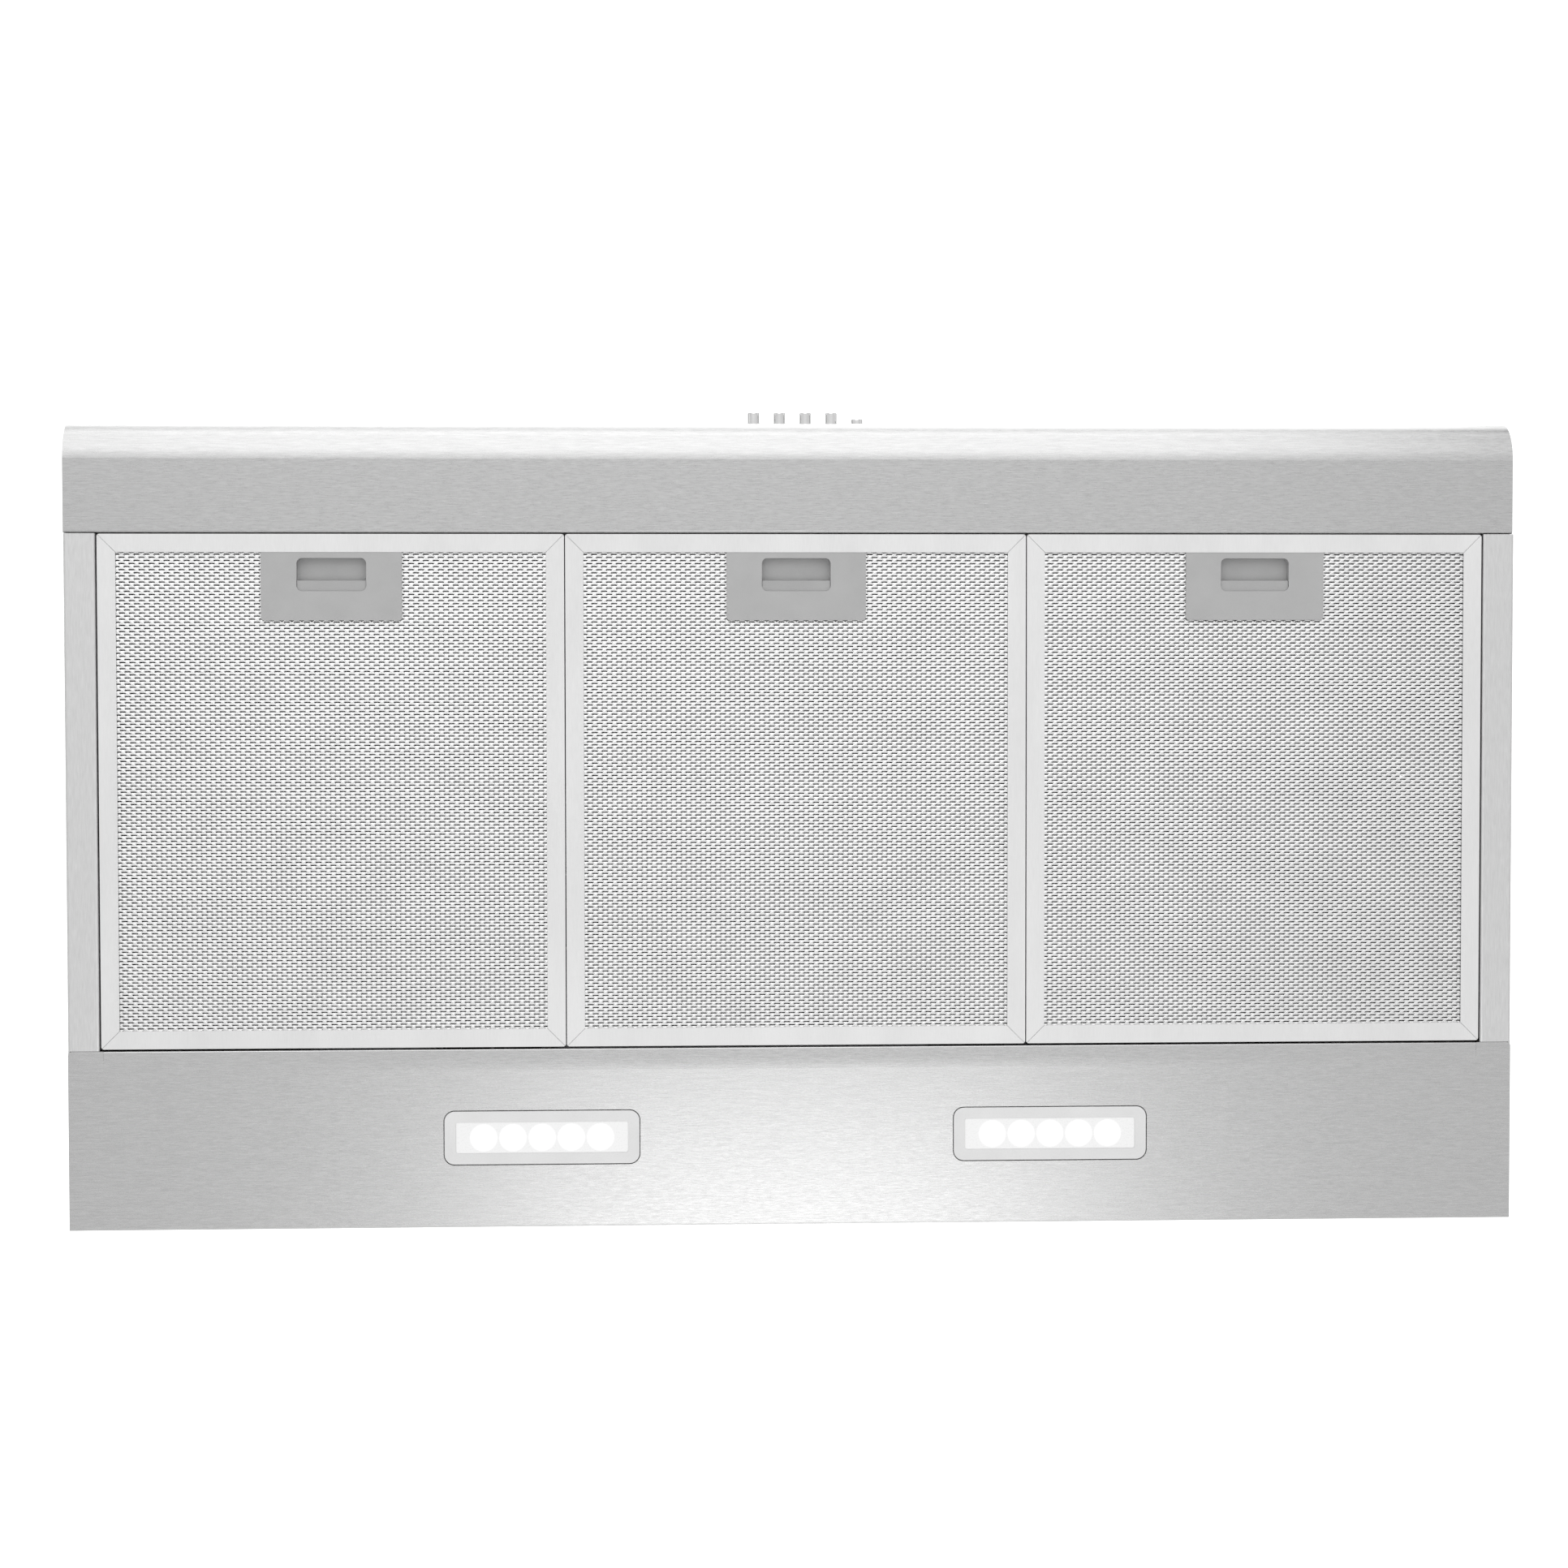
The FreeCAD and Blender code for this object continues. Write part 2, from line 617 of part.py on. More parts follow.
def blower_void(inset, z0, z1):
    """Scroll, outlet channel and plenum, each drawn in by inset."""
    scroll = scroll_face(inset, z0).extrude(V(0, 0, z1 - z0))
    outlet_front = FAN_Y + SCROLL_R0 * math.sin(math.radians(55)) - 22 + inset
    outlet_rear = FAN_Y + SCROLL_R1 - inset
    channel = box(FAN_X, -PLENUM + 6, outlet_front, outlet_rear, z0, z1)
    plenum = box(-PLENUM + inset, PLENUM - inset, PLENUM_FRONT + inset, outlet_rear, z0, z1)
    return fuse([scroll, channel, plenum])


def cover_screws():
    """Places of the bosses inside the plenum that take the screws of the bottom plate."""
    x = PLENUM - 5.0
    return ((x, 60.0), (x, 190.0), (-x, 60.0), (-20.0, PLENUM_FRONT + 5.0))


def blower_housing():
    """Scroll casing with its outlet channel and the plenum under the duct collar."""
    outer = blower_void(0, SCROLL_Z, SCROLL_TOP)
    hollow = blower_void(WALL, SCROLL_Z - 1, SCROLL_TOP - WALL)
    outlet_rear = FAN_Y + SCROLL_R1
    top = SEAT_Z - SHEET
    riser = box(-PLENUM, PLENUM, PLENUM_FRONT, outlet_rear, SCROLL_TOP - WALL, top)
    riser_void = box(-PLENUM + WALL, PLENUM - WALL, PLENUM_FRONT + WALL, outlet_rear - WALL,
                     SCROLL_Z, top - WALL)
    housing = fuse([outer, riser]).cut([hollow, riser_void])
    bosses = [rod(3.6, (x, y, SCROLL_Z), (x, y, SCROLL_Z + 12)) for x, y in cover_screws()]
    housing = fuse([housing] + bosses)
    centre = (0, DUCT_Y)
    hole = rod(DUCT_R - 0.5, (*centre, HEIGHT - 10), (*centre, HEIGHT))
    motor_hole = rod(30.0, (FAN_X, FAN_Y, SCROLL_TOP - 5), (FAN_X, FAN_Y, SCROLL_TOP + 1))
    return cut(housing, [hole, motor_hole])


def blower_cover():
    """Bottom plate of the scroll, with the rounded inlet mouth."""
    plate = blower_void(0, SCROLL_Z - 1.5, SCROLL_Z)
    centre = (FAN_X, FAN_Y)
    mouth = ring(72.0, 70.0, (*centre, SCROLL_Z - 1.5), (*centre, SCROLL_Z + 4))
    hole = rod(71.0, (*centre, SCROLL_Z - 3), (*centre, SCROLL_Z + 1))
    return fuse([plate.cut(hole), mouth])


def inlet_guard():
    """Wire finger guard under the inlet mouth."""
    z = SCROLL_Z - 2.7
    wires = []
    for r in (18.0, 36.0, 54.0, 72.0):
        wires.append(Part.makeTorus(r, 1.2, V(FAN_X, FAN_Y, z)))
    for k in range(4):
        angle = math.radians(45 * k)
        dx = 73.0 * math.cos(angle)
        dy = 73.0 * math.sin(angle)
        wires.append(rod(1.0, (FAN_X - dx, FAN_Y - dy, z), (FAN_X + dx, FAN_Y + dy, z)))
    return fuse(wires)


def impeller():
    """Forward-curved centrifugal wheel with its hub."""
    low = SCROLL_Z + 7
    high = SCROLL_TOP - 6
    centre = (FAN_X, FAN_Y)
    parts = [rod(FAN_R, (*centre, high - 1.6), (*centre, high))]
    parts.append(ring(FAN_R, FAN_R - 13, (*centre, low), (*centre, low + 1.6)))
    parts.append(rod(13.0, (*centre, high - 20), (*centre, high)))
    for k in range(BLADES):
        blade = box(-6.0, 6.0, -0.5, 0.5, low + 0.8, high - 0.8)
        blade.rotate(V(0, 0, 0), V(0, 0, 1), 35)
        blade.translate(V(FAN_R - 6.5, 0, 0))
        blade.rotate(V(0, 0, 0), V(0, 0, 1), 360.0 * k / BLADES)
        blade.translate(V(FAN_X, FAN_Y, 0))
        parts.append(blade)
    wheel = fuse(parts)
    return cut(wheel, [rod(SHAFT_R, (*centre, 0), (*centre, HEIGHT))])


def motor_shaft():
    return rod(SHAFT_R, (FAN_X, FAN_Y, SCROLL_TOP - 27), (FAN_X, FAN_Y, HEIGHT - 15))


def motor_case():
    """Motor can on its mounting flange, with the bearing bore for the shaft."""
    centre = (FAN_X, FAN_Y)
    can = rod(46.0, (*centre, SCROLL_TOP + 1.5), (*centre, HEIGHT - 5))
    can = can.makeFillet(4.0, [e for e in can.Edges if abs(e.BoundBox.ZMin - HEIGHT + 5) < 0.01])
    flange = rod(56.0, (*centre, SCROLL_TOP), (*centre, SCROLL_TOP + 1.5))
    boss = rod(28.0, (*centre, SCROLL_TOP - 4), (*centre, SCROLL_TOP))
    bore = rod(SHAFT_R + 0.05, (*centre, SCROLL_TOP - 5), (*centre, HEIGHT - 12))
    return cut(fuse([can, flange, boss]), [bore])


def motor_bracket():
    """Strap over the motor that hangs the scroll from the canopy."""
    top = HEIGHT - SHEET
    left = FAN_X - 72
    right = FAN_X + 72
    parts = [box(left, right, FAN_Y - 13, FAN_Y + 13, top - 2, top)]
    for x0, x1 in ((left, left + 2), (right - 2, right)):
        parts.append(box(x0, x1, FAN_Y - 13, FAN_Y + 13, SCROLL_TOP, top))
    parts.append(box(left - 12, left, FAN_Y - 13, FAN_Y + 13, SCROLL_TOP, SCROLL_TOP + 2))
    parts.append(box(right, right + 8, FAN_Y - 13, FAN_Y + 13, SCROLL_TOP, SCROLL_TOP + 2))
    return fuse(parts)


def blower_screws():
    """Screws of the bracket feet and of the scroll's bottom plate."""
    screws = [screw((FAN_X - 79, FAN_Y, SCROLL_TOP + 2), (0, 0, -1), 4.0, 1.8)]
    screws.append(screw((FAN_X + 76, FAN_Y, SCROLL_TOP + 2), (0, 0, -1), 4.0, 1.8))
    for x, y in cover_screws():
        screws.append(screw((x, y, SCROLL_Z - 1.5), (0, 0, 1), 9.0))
    return Part.makeCompound(screws)


def terminal_box():
    """Sheet box for the supply terminals; its end walls reach up to the top sheet."""
    x0, x1, y0, y1 = EBOX
    top = SEAT_Z - SHEET
    body = box(x0, x1, y0, y1, EBOX_Z, top)
    body = body.cut(box(x0 + 1, x1 - 1, y0 + 1, y1 - 1, EBOX_Z - 1, top - 1))
    ends = [box(x0, x0 + 1, y0, y1, EBOX_Z, HEIGHT - SHEET)]
    ends.append(box(x1 - 1, x1, y0, y1, EBOX_Z, HEIGHT - SHEET))
    body = fuse([body] + ends)
    holes = [rod(9.0, (GLAND[0], GLAND[1], top - 3), (GLAND[0], GLAND[1], top + 1))]
    holes.append(rod(3.2, (x0 - 2, y0 + 12, 112), (x0 + 2, y0 + 12, 112)))
    holes.append(rod(3.2, (160, y0 - 2, 112), (160, y0 + 2, 112)))
    holes.append(rod(3.2, (LAMP_X, y1 - 2, 100), (LAMP_X, y1 + 2, 100)))
    holes.append(rod(3.2, (185, y1 - 2, 112), (185, y1 + 2, 112)))
    return cut(body, holes)


def terminal_cover():
    x0, x1, y0, y1 = EBOX
    plate = slab((x0 + x1) / 2, (y0 + y1) / 2, x1 - x0 + 4, y1 - y0 + 4, EBOX_Z - 1, EBOX_Z, 3)
    lip = box(x0 + 1.2, x1 - 1.2, y0 + 1.2, y1 - 1.2, EBOX_Z - 0.5, EBOX_Z + 6)
    lip = lip.cut(box(x0 + 2.2, x1 - 2.2, y0 + 2.2, y1 - 2.2, EBOX_Z, EBOX_Z + 7))
    return fuse([plate, lip])


def cable_gland():
    """Strain relief bush for the supply cable, with its lock nut inside the box."""
    flange = rod(13.0, (*GLAND, SEAT_Z), (*GLAND, SEAT_Z + 2.5))
    neck = rod(9.0, (*GLAND, SEAT_Z - 10), (*GLAND, SEAT_Z))
    corners = []
    for k in range(7):
        angle = math.radians(60 * k)
        corners.append(V(GLAND[0] + 13 * math.cos(angle), GLAND[1] + 13 * math.sin(angle), SEAT_Z - 7))
    nut = Part.Face(Part.makePolygon(corners)).extrude(V(0, 0, 5))
    body = fuse([flange, neck, nut])
    return body.cut(rod(4.5, (*GLAND, SEAT_Z - 12), (*GLAND, SEAT_Z + 4)))


def terminal_block():
    """Row of screw terminals joined into one moulding."""
    x0 = EBOX[1] - 66
    parts = [box(x0, x0 + 50, 128, 140, EBOX_Z, EBOX_Z + 10)]
    for k in range(5):
        parts.append(rod(3.6, (x0 + 5 + 10 * k, 134, EBOX_Z + 10), (x0 + 5 + 10 * k, 134, EBOX_Z + 14)))
    return fuse(parts)


def capacitor():
    y = EBOX[2] + 30
    z = EBOX_Z + 15.05
    can = rod(15.0, (EBOX[0] + 18, y, z), (EBOX[0] + 76, y, z))
    stub = rod(6.0, (EBOX[0] + 76, y, z), (EBOX[0] + 82, y, z))
    return can.fuse(stub).removeSplitter()


def led_driver():
    return slab(EBOX[1] - 44, EBOX[2] + 34, 62, 42, EBOX_Z, EBOX_Z + 22, 2.5)


def wiring_harness():
    """Fixed leads from the electrical box to the motor and to the switch bank."""
    z = 112
    angle = math.radians(-40)
    end = (FAN_X + 46.2 * math.cos(angle), FAN_Y + 46.2 * math.sin(angle), z)
    before = (FAN_X + 70 * math.cos(angle), FAN_Y + 70 * math.sin(angle), z)
    motor = [(EBOX[0] - 0.1, EBOX[2] + 12, z), (EBOX[0] - 24, EBOX[2] + 12, z), (70, 18, z)]
    motor += [(-95, 18, z), before, end]
    switch = [(160, EBOX[2] - 0.1, z), (160, 10, z), (110, -70, 96), (50, -150, 62)]
    switch += [(BUTTON_X + 10, -188, BUTTON_Z), (BUTTON_X + 10, -213.9, BUTTON_Z)]
    return Part.makeCompound([tube(motor, 2.6, 11.0), tube(switch, 2.6, 11.0)])


def lamp_harness():
    """Fixed leads from the electrical box to the two lamps, clear of the blower."""
    y = LAMP_Y + (LAMP_W - 3) / 2 + 0.1
    back = EBOX[3] + 0.1
    right = [(LAMP_X, y, 8), (LAMP_X, 232, 8), (LAMP_X, 232, 100), (LAMP_X, back, 100)]
    left = [(-LAMP_X, y, 8), (-LAMP_X, 232, 8), (-LAMP_X, 232, 112), (185, 232, 112)]
    left.append((185, back, 112))
    return Part.makeCompound([tube(right, 2.0, 9.0), tube(left, 2.0, 9.0)])


def build_shell():
    screws = panel_screws()
    save("front_panel", cut(front_panel(), screws))
    save("side_panel_left", cut(side_panel(-1), screws))
    save("side_panel_right", cut(side_panel(1), screws))
    save("lamp_panel", cut(lamp_panel(), screws))
    save("canopy_shell", cut(canopy_shell(), collar_screws()))
    save("casing_screws", Part.makeCompound(screws + collar_screws()))


def build_filters():
    for name, x in FILTERS.items():
        save("filter_frame_" + name, filter_frame(x))
        save("filter_mesh_" + name, filter_mesh(x))
        save("latch_plate_" + name, latch_plate(x))
        save("latch_slider_" + name, latch_slider(x))
        save("latch_spring_" + name, latch_spring(x))


def build_lamps():
    for name, x in (("left", -LAMP_X), ("right", LAMP_X)):
        save("lamp_housing_" + name, lamp_housing(x))
        save("lamp_lens_" + name, lamp_lens(x))
        save("led_board_" + name, led_board(x))


def build_switches():
    save("switch_housing", switch_housing())
    save("switch_bracket", switch_bracket())
    save("button_collars", button_collars())
    for i in range(1, BUTTONS + 1):
        save("button_" + str(i), button(i))
        save("button_spring_" + str(i), button_spring(i))


def build_duct():
    save("duct_collar", cut(duct_collar(), collar_screws()))
    save("damper_rod", damper_rod())
    save("damper_flap_front", damper_flap(-1))
    save("damper_flap_rear", damper_flap(1))


def build_blower():
    screws = blower_screws()
    holes = screws.Solids + collar_screws()
    save("blower_housing", cut(blower_housing(), holes))
    save("blower_cover", cut(blower_cover(), screws.Solids))
    save("inlet_guard", inlet_guard())
    save("impeller", impeller())
    save("motor_shaft", motor_shaft())
    save("motor_case", motor_case())
    save("motor_bracket", cut(motor_bracket(), screws.Solids))
    save("blower_screws", screws)


def build_electrics():
    save("terminal_box", terminal_box())
    save("terminal_cover", terminal_cover())
    save("terminal_block", terminal_block())
    save("cable_gland", cable_gland())
    save("capacitor", capacitor())
    save("led_driver", led_driver())
    save("wiring_harness", wiring_harness())
    save("lamp_harness", lamp_harness())


os.makedirs("parts", exist_ok=True)
build_shell()
build_filters()
build_lamps()
build_switches()
build_duct()
build_blower()
build_electrics()
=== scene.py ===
import math

import bmesh
import bpy
from mathutils import Matrix, Vector


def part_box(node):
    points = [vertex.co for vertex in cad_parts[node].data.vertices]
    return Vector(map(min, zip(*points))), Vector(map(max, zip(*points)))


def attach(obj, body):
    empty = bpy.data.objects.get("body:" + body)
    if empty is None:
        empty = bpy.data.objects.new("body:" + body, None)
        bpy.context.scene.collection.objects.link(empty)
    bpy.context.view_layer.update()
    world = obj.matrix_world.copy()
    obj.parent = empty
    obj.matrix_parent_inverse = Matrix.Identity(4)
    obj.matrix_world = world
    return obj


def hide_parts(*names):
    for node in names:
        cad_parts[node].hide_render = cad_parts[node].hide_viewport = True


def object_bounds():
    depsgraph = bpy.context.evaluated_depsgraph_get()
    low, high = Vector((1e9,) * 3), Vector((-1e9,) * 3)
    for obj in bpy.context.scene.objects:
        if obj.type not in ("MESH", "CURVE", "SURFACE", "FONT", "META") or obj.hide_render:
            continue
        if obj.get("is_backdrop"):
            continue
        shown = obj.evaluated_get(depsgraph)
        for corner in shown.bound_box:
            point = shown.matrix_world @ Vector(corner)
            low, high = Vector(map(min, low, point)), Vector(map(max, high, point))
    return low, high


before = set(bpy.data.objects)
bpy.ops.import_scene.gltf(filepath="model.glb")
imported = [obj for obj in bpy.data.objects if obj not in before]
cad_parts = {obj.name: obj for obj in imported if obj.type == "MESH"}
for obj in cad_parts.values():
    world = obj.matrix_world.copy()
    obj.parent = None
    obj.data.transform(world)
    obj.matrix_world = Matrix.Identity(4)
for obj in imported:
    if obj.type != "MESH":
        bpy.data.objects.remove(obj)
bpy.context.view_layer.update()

SIDES = ("left", "centre", "right")
MM = 0.001

# ---------------------------------------------------------------- materials


def link(tree, source, target):
    tree.links.new(source, target)


def object_noise(tree, scale, detail=3.0, shift=0.0):
    """Noise in object space; scale is cycles per metre along x, y and z."""
    coords = tree.nodes.new("ShaderNodeTexCoord")
    mapping = tree.nodes.new("ShaderNodeMapping")
    mapping.inputs["Scale"].default_value = scale
    mapping.inputs["Location"].default_value = (shift, shift * 1.7, shift * 0.6)
    tex = tree.nodes.new("ShaderNodeTexNoise")
    tex.inputs["Scale"].default_value = 1.0
    tex.inputs["Detail"].default_value = detail
    tex.inputs["Roughness"].default_value = 0.55
    link(tree, coords.outputs["Object"], mapping.inputs["Vector"])
    link(tree, mapping.outputs["Vector"], tex.inputs["Vector"])
    return tex.outputs["Fac"]


def remap(tree, source, low, high, start=0.3, end=0.7):
    """Takes source from start..end to low..high."""
    node = tree.nodes.new("ShaderNodeMapRange")
    node.inputs["From Min"].default_value = start
    node.inputs["From Max"].default_value = end
    node.inputs["To Min"].default_value = low
    node.inputs["To Max"].default_value = high
    link(tree, source, node.inputs["Value"])
    return node.outputs["Result"]


def math_node(tree, operation, a, b=None, c=None):
    node = tree.nodes.new("ShaderNodeMath")
    node.operation = operation
    for socket, value in zip(node.inputs, (a, b, c)):
        if value is None:
            continue
        if isinstance(value, (int, float)):
            socket.default_value = value
        else:
            link(tree, value, socket)
    return node.outputs["Value"]


def two_tone(tree, factor, dark, light):
    node = tree.nodes.new("ShaderNodeMix")
    node.data_type = "RGBA"
    node.inputs["A"].default_value = (*dark, 1.0)
    node.inputs["B"].default_value = (*light, 1.0)
    link(tree, factor, node.inputs["Factor"])
    return node.outputs["Result"]


def bump(tree, height, strength, distance):
    node = tree.nodes.new("ShaderNodeBump")
    node.inputs["Strength"].default_value = strength
    node.inputs["Distance"].default_value = distance
    link(tree, height, node.inputs["Height"])
    return node.outputs["Normal"]


def grey(value, warm=0.0):
    return (value * (1 + warm), value, value * (1 - warm))


def new_material(name, sockets):
    mat = bpy.data.materials.new(name)
    mat.use_nodes = True
    tree = mat.node_tree
    shader = tree.nodes["Principled BSDF"]
    for key, value in sockets.items():
        shader.inputs[key].default_value = value
    return mat, tree, shader


def finish_with(name, sockets, tone, rough, grain, fine, relief, shift=0.0, warm=0.0):
    """Surface whose tone and gloss vary with grain and whose relief follows fine.

    tone and rough are (low, high); grain and fine are cycles per metre; relief is (strength, m).
    """
    mat, tree, shader = new_material(name, sockets)
    broad = object_noise(tree, grain, shift=shift)
    small = object_noise(tree, fine, detail=2.0, shift=shift + 3.0)
    blend = math_node(tree, "MULTIPLY_ADD", broad, 0.6, math_node(tree, "MULTIPLY", small, 0.4))
    factor = remap(tree, blend, 0.0, 1.0, 0.36, 0.64)
    link(tree, two_tone(tree, factor, grey(tone[0], warm), grey(tone[1], warm)),
         shader.inputs["Base Color"])
    link(tree, remap(tree, small, rough[0], rough[1]), shader.inputs["Roughness"])
    link(tree, bump(tree, small, relief[0], relief[1]), shader.inputs["Normal"])
    return mat


def brushed(name, along, tone, rough, shift=0.0):
    """Brushed sheet; along is the axis of the grain, 0 for x or 1 for y."""
    broad = [1300.0, 1300.0, 1300.0]
    broad[along] = 90.0
    fine = [2100.0, 2100.0, 2100.0]
    fine[along] = 200.0
    return finish_with(name, {"Metallic": 1.0}, tone, rough, broad, fine, (0.22, 0.00005), shift)


def galvanised(name):
    """Zinc spangle: flat crystals with their own tone and gloss."""
    mat, tree, shader = new_material(name, {"Metallic": 0.85})
    coords = tree.nodes.new("ShaderNodeTexCoord")
    cells = tree.nodes.new("ShaderNodeTexVoronoi")
    cells.inputs["Scale"].default_value = 95.0
    cells.inputs["Randomness"].default_value = 1.0
    link(tree, coords.outputs["Object"], cells.inputs["Vector"])
    tone = tree.nodes.new("ShaderNodeSeparateColor")
    link(tree, cells.outputs["Color"], tone.inputs["Color"])
    frost = object_noise(tree, (700.0, 700.0, 700.0))
    mixed = math_node(tree, "MULTIPLY_ADD", tone.outputs["Red"], 0.75,
                      math_node(tree, "MULTIPLY", frost, 0.25))
    link(tree, two_tone(tree, mixed, (0.44, 0.45, 0.47), (0.62, 0.63, 0.65)),
         shader.inputs["Base Color"])
    link(tree, remap(tree, tone.outputs["Green"], 0.34, 0.52, 0.0, 1.0), shader.inputs["Roughness"])
    link(tree, bump(tree, frost, 0.15, 0.00006), shader.inputs["Normal"])
    return mat


LED_PITCH = 18.1 * MM
LAMP_X = 158.6 * MM
LAMP_Y = 194.4 * MM
OUTER_LED = 2.0
GLOW_REACH = 9.0 * MM
DOME_RADIUS = 5.6 * MM
DOME_HEIGHT = 2.6 * MM


def led_distance(tree, reach):
    """Distance from a point on either lamp to the middle of its nearest LED, over reach.

    Gives that value and the node that holds the point's own x, y and z.
    """
    coords = tree.nodes.new("ShaderNodeTexCoord")
    parts = tree.nodes.new("ShaderNodeSeparateXYZ")
    link(tree, coords.outputs["Object"], parts.inputs["Vector"])
    along = math_node(tree, "SUBTRACT", math_node(tree, "ABSOLUTE", parts.outputs["X"]), LAMP_X)
    nearest = math_node(tree, "ROUND", math_node(tree, "DIVIDE", along, LED_PITCH))
    nearest = math_node(tree, "MINIMUM", nearest, OUTER_LED)
    nearest = math_node(tree, "MAXIMUM", nearest, -OUTER_LED)
    dx = math_node(tree, "MULTIPLY_ADD", nearest, -LED_PITCH, along)
    dy = math_node(tree, "SUBTRACT", parts.outputs["Y"], LAMP_Y)
    square = math_node(tree, "MULTIPLY_ADD", dx, dx, math_node(tree, "MULTIPLY", dy, dy))
    return math_node(tree, "DIVIDE", math_node(tree, "SQRT", square), reach), parts


def lamp_window(name):
    """Frosted window, lit from behind by five LEDs."""
    sockets = {"Base Color": (0.40, 0.40, 0.40, 1.0), "Emission Color": (1.0, 1.0, 1.0, 1.0)}
    mat, tree, shader = new_material(name, sockets)
    distance = led_distance(tree, GLOW_REACH)[0]
    glow = remap(tree, distance, 1.0, 0.38, 0.5, 1.0)
    frost = object_noise(tree, (900.0, 900.0, 900.0))
    lit = math_node(tree, "MULTIPLY_ADD", frost, 0.05, glow)
    link(tree, lit, shader.inputs["Emission Strength"])
    link(tree, remap(tree, frost, 0.22, 0.4), shader.inputs["Roughness"])
    link(tree, bump(tree, frost, 0.1, 0.00004), shader.inputs["Normal"])
    return mat


def led_board(name):
    """White board with lit domes under it."""
    sockets = {"Emission Color": (1.0, 1.0, 1.0, 1.0), "Roughness": 0.4}
    mat, tree, shader = new_material(name, sockets)
    distance, parts = led_distance(tree, DOME_RADIUS)
    inside = math_node(tree, "LESS_THAN", distance, 1.0)
    dome_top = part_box("led_board_left")[0].z + DOME_HEIGHT
    below = math_node(tree, "LESS_THAN", parts.outputs["Z"], dome_top)
    lit = math_node(tree, "MULTIPLY", math_node(tree, "MULTIPLY", inside, below), 3.0)
    link(tree, lit, shader.inputs["Emission Strength"])
    speckle = object_noise(tree, (1500.0, 1500.0, 1500.0))
    link(tree, two_tone(tree, speckle, (0.86, 0.87, 0.86), (0.94, 0.94, 0.93)),
         shader.inputs["Base Color"])
    return mat


def plastic(name, tone, rough, pebble, warm=0.0, shift=0.0):
    """Moulded surface with a fine pebble."""
    grain = (45.0, 45.0, 45.0)
    fine = (pebble, pebble, pebble)
    return finish_with(name, {}, tone, rough, grain, fine, (0.2, 0.00008), shift, warm)


STEEL_X = brushed("steel_along_width", 0, (0.41, 0.49), (0.25, 0.36))
STEEL_Y = brushed("steel_across", 1, (0.55, 0.62), (0.30, 0.42), 5.0)
STEEL_REAR = brushed("steel_lamp_panel", 0, (0.43, 0.49), (0.22, 0.32), 9.0)
STEEL_SHELL = brushed("steel_shell", 0, (0.43, 0.49), (0.28, 0.38), 13.0)
FRAME_ALU = finish_with("satin_aluminium", {"Metallic": 0.25}, (0.61, 0.66), (0.36, 0.46),
                        (40.0, 9.0, 40.0), (1300.0, 120.0, 1300.0), (0.12, 0.00004), 1.0)
MESH_ALU = finish_with("mesh_aluminium", {"Metallic": 0.75}, (0.64, 0.70), (0.26, 0.36),
                       (60.0, 60.0, 60.0), (900.0, 900.0, 900.0), (0.1, 0.00003), 2.0)
# Inner mesh layers: the same aluminium as the front sheet, its tone darkened as painted shade for the
# layers lying in shadow behind it.
CORE_ALU_PAINTED_SHADE = finish_with("core_aluminium", {"Metallic": 0.6}, (0.30, 0.42), (0.42, 0.56),
                       (60.0, 60.0, 60.0), (900.0, 900.0, 900.0), (0.1, 0.00003), 3.0)
LATCH = plastic("latch_grey", (0.335, 0.365), (0.42, 0.52), 1800.0, shift=4.0)
SLIDER = plastic("slider_grey", (0.305, 0.335), (0.36, 0.46), 1800.0, shift=6.0)
SPRING = finish_with("spring_wire", {"Metallic": 1.0}, (0.48, 0.58), (0.24, 0.38),
                     (300.0, 300.0, 300.0), (1600.0, 1600.0, 1600.0), (0.1, 0.00002), 7.0)
ZINC = finish_with("zinc_plate", {"Metallic": 1.0}, (0.58, 0.68), (0.26, 0.42),
                   (220.0, 220.0, 220.0), (1200.0, 1200.0, 1200.0), (0.1, 0.00003), 8.0, 0.02)
CHROME = finish_with("button_chrome", {"Metallic": 1.0}, (0.62, 0.68), (0.04, 0.09),
                     (120.0, 120.0, 120.0), (700.0, 60.0, 700.0), (0.04, 0.00002), 10.0)
WINDOW = lamp_window("lamp_window")
LED = led_board("led_white")
BEZEL = plastic("lamp_bezel", (0.60, 0.64), (0.26, 0.34), 2200.0, shift=11.0)
BLACK = plastic("black_moulding", (0.022, 0.04), (0.38, 0.55), 900.0, shift=12.0)
GALVANISED = galvanised("galvanised_sheet")
CABLE = plastic("cable_sheath", (0.016, 0.028), (0.45, 0.6), 1400.0, shift=14.0)
WHITE = plastic("white_moulding", (0.76, 0.82), (0.38, 0.5), 1100.0, 0.015, 15.0)

